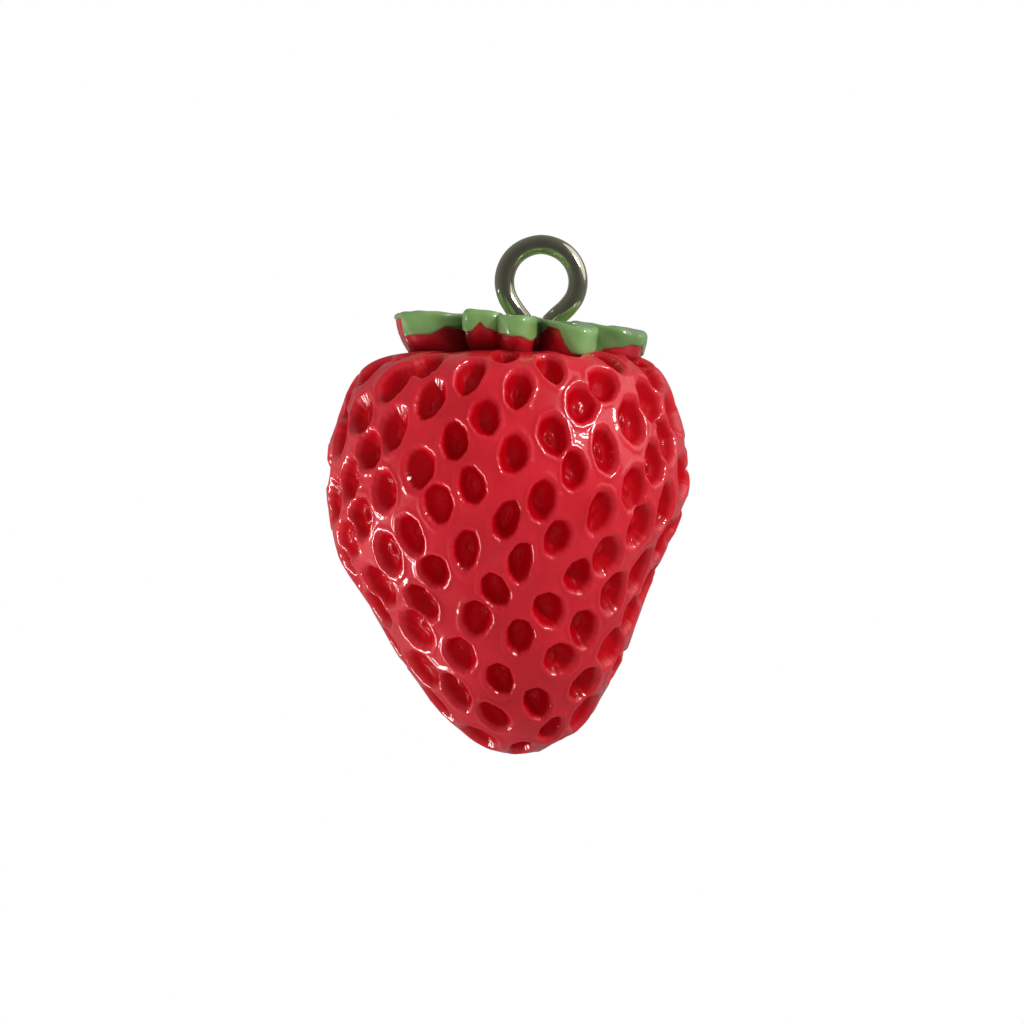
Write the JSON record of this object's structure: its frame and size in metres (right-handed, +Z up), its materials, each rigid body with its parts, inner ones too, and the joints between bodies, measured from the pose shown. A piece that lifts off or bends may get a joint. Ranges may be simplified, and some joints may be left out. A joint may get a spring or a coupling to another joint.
{
  "type": "strawberry charm",
  "caption": "Cast resin strawberry charm with a green leaf crown, pitted all over, hung from a nickel-plated screw eye.",
  "frame": {"origin": "centre of the screw eye's hole", "axes": "+Z up along the berry's height, the eye's hole along Y, the front of the charm facing -Y"},
  "size_m": [0.0152, 0.0152, 0.0219],
  "materials": {
    "red_resin": "glossy cast polyester resin, pigmented crimson",
    "green_enamel": "glossy brushed-on enamel",
    "nickel_wire": "bright nickel plate on steel wire",
    "clear_adhesive": "cured cyanoacrylate"
  },
  "bodies": {
    "root": {"berry_casting": "red_resin", "sepal_enamel": "green_enamel", "screw_eye": "nickel_wire", "adhesive_bond": "clear_adhesive"}
  },
  "joints": []
}
